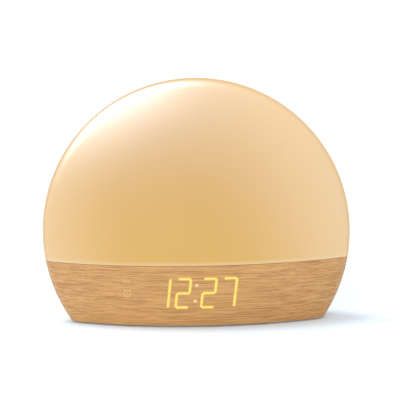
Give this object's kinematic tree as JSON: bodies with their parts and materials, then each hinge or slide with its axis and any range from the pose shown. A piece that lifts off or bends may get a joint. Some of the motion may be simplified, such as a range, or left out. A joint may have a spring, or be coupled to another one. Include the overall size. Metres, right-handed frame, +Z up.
{
  "type": "sunrise alarm clock",
  "caption": "Round, lens-shaped light dome on an oval wooden base, with a clock display behind the wood and a rear panel with buttons, speaker grille and power inlet.",
  "frame": {"origin": "centre of the footprint on the surface that the feet stand on", "axes": "+Z up, the clock's face looks along -Y and its rear panel along +Y, +X to the right seen from the front"},
  "size_m": [0.2, 0.088, 0.1572],
  "materials": {
    "wood": "oiled oak grain",
    "diffuser": "warm satin opal",
    "panel": "fine moulded texture",
    "button": "satin",
    "cover": "fine moulded texture",
    "white_plastic": "satin",
    "film": "thin diffusing sheet",
    "black_plastic": "moulded",
    "board": "solder mask",
    "white_board": "white solder mask",
    "chip": "moulded",
    "led": "phosphor",
    "connector": "moulded nylon",
    "steel": "zinc plated",
    "contact": "nickel plated",
    "grille": "fine powder coat",
    "paper": "pressed pulp",
    "dust_cap": "pressed pulp",
    "basket": "black coat",
    "rubber": "matte",
    "foot_rubber": "matte",
    "capacitor": "sleeved can",
    "wire_red": "insulation",
    "wire_black": "insulation",
    "ribbon": "flat cable"
  },
  "bodies": {
    "housing": {"wooden_base": "wood", "dome_diffuser": "diffuser", "light_tray": "white_plastic", "led_board": "white_board", "led_chips": "led", "led_screws": "steel", "dome_screws": "steel", "display_box": "white_plastic", "display_film": "film", "display_board": "board", "display_leds": "led", "display_screws": "steel", "rear_panel": "panel", "panel_screws": "steel", "speaker_grille": "grille", "speaker_gasket": "rubber", "speaker_frame": "basket", "speaker_surround": "rubber", "speaker_cone": "paper", "speaker_dust_cap": "dust_cap", "speaker_magnet": "steel", "speaker_screws": "steel", "switch_housings": "black_plastic", "right_button_board": "board", "left_button_board": "board", "button_board_screws": "steel", "jack_housing": "black_plastic", "jack_pin": "contact", "main_board": "board", "board_chips": "chip", "capacitors": "capacitor", "connectors": "connector", "coin_cell_holder": "black_plastic", "coin_cell": "steel", "main_board_screws": "steel", "bottom_cover": "cover", "cover_screws": "steel", "feet": "foot_rubber", "display_ribbon": "ribbon", "speaker_leads": "wire_black", "light_leads": "wire_red", "button_leads": "wire_red"},
    "light_key": {"light_button": "button", "light_plunger": "black_plastic"},
    "sound_key": {"sound_button": "button", "sound_plunger": "black_plastic"},
    "plus_key": {"plus_button": "button", "plus_plunger": "black_plastic"},
    "minus_key": {"minus_button": "button", "minus_plunger": "black_plastic"},
    "alarm_key": {"alarm_button": "button", "alarm_plunger": "black_plastic"},
    "set_key": {"set_button": "button", "set_plunger": "black_plastic"}
  },
  "joints": [
    {"name": "light_press", "type": "slide", "parent": "housing", "child": "light_key", "axis": [0, -1, 0], "range_m": [0, 0.0008], "stiffness_N_per_m": 1500},
    {"name": "sound_press", "type": "slide", "parent": "housing", "child": "sound_key", "axis": [0, -1, 0], "range_m": [0, 0.0008], "stiffness_N_per_m": 1500},
    {"name": "plus_press", "type": "slide", "parent": "housing", "child": "plus_key", "axis": [0, -1, 0], "range_m": [0, 0.0008], "stiffness_N_per_m": 1500},
    {"name": "minus_press", "type": "slide", "parent": "housing", "child": "minus_key", "axis": [0, -1, 0], "range_m": [0, 0.0008], "stiffness_N_per_m": 1500},
    {"name": "alarm_press", "type": "slide", "parent": "housing", "child": "alarm_key", "axis": [0, -1, 0], "range_m": [0, 0.0008], "stiffness_N_per_m": 1500},
    {"name": "set_press", "type": "slide", "parent": "housing", "child": "set_key", "axis": [0, -1, 0], "range_m": [0, 0.0008], "stiffness_N_per_m": 1500}
  ]
}
